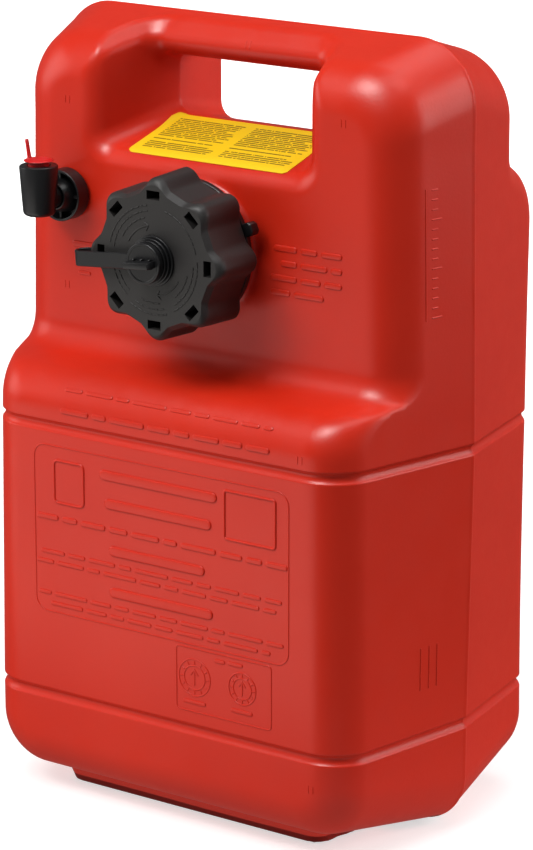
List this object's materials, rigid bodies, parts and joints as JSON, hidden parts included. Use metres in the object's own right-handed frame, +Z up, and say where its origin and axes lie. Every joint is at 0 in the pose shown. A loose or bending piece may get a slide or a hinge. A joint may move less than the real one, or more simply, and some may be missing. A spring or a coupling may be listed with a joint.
{
  "type": "portable fuel tank",
  "caption": "Red moulded outboard fuel tank with a grip through its top, a lobed filler cap with a tethered vent screw, and a fuel outlet elbow with pick-up hose and strainer.",
  "frame": {"origin": "centre of the tank on its foot's flat underside, where the mould's parting plane meets the floor", "axes": "+Z up; the cap faces -Y; +X is to the right when the cap is seen from the front"},
  "size_m": [0.2608, 0.1896, 0.408],
  "materials": {
    "tank_plastic": "blow-moulded polyethylene with a soft satin sheen",
    "sticker": "satin printed sheet",
    "cap_plastic": "satin injection-moulded plastic",
    "core_plastic": "plain moulded plastic",
    "fitting_plastic": "smooth black plastic",
    "seal_rubber": "plain rubber",
    "plug_plastic": "soft red plastic",
    "hose_rubber": "smooth fuel hose",
    "cage_plastic": "natural nylon",
    "mesh_steel": "woven wire"
  },
  "bodies": {
    "tank": {"tank_shell": "tank_plastic", "label_sheet": "sticker", "neck_ring": "fitting_plastic", "outlet_gasket": "seal_rubber", "outlet_elbow": "fitting_plastic", "outlet_nut": "fitting_plastic", "pickup_hose": "hose_rubber", "strainer_cage": "cage_plastic", "strainer_mesh": "mesh_steel"},
    "cap_seal": {"cap_gasket": "seal_rubber"},
    "cap": {"cap_shell": "cap_plastic", "cap_core": "core_plastic", "vent_strap": "cap_plastic"},
    "vent_seal": {"vent_seal": "seal_rubber"},
    "vent": {"vent_screw": "cap_plastic"},
    "plug": {"shipping_plug": "plug_plastic"}
  },
  "joints": [
    {"name": "cap_rise", "type": "slide", "parent": "tank", "child": "cap_seal", "axis": [0, -1, 0], "range_m": [0, 0.01334]},
    {"name": "cap_turn", "type": "hinge", "parent": "cap_seal", "child": "cap", "pos_m": [0, -0.07, 0.3], "axis": [0, -1, 0], "range_deg": [0, 800]},
    {"name": "vent_rise", "type": "slide", "parent": "cap", "child": "vent_seal", "axis": [0, -1, 0], "range_m": [0, 0.003]},
    {"name": "vent_turn", "type": "hinge", "parent": "vent_seal", "child": "vent", "pos_m": [0, -0.1, 0.3], "axis": [0, -1, 0], "range_deg": [0, 720]},
    {"name": "plug_pull", "type": "slide", "parent": "tank", "child": "plug", "axis": [0, 0, 1], "range_m": [0, 0.03]}
  ],
  "couplings": [
    {"joint": "cap_rise", "follows": "cap_turn", "m_per_rad": 0.00095493},
    {"joint": "vent_rise", "follows": "vent_turn", "m_per_rad": 0.00023873}
  ]
}
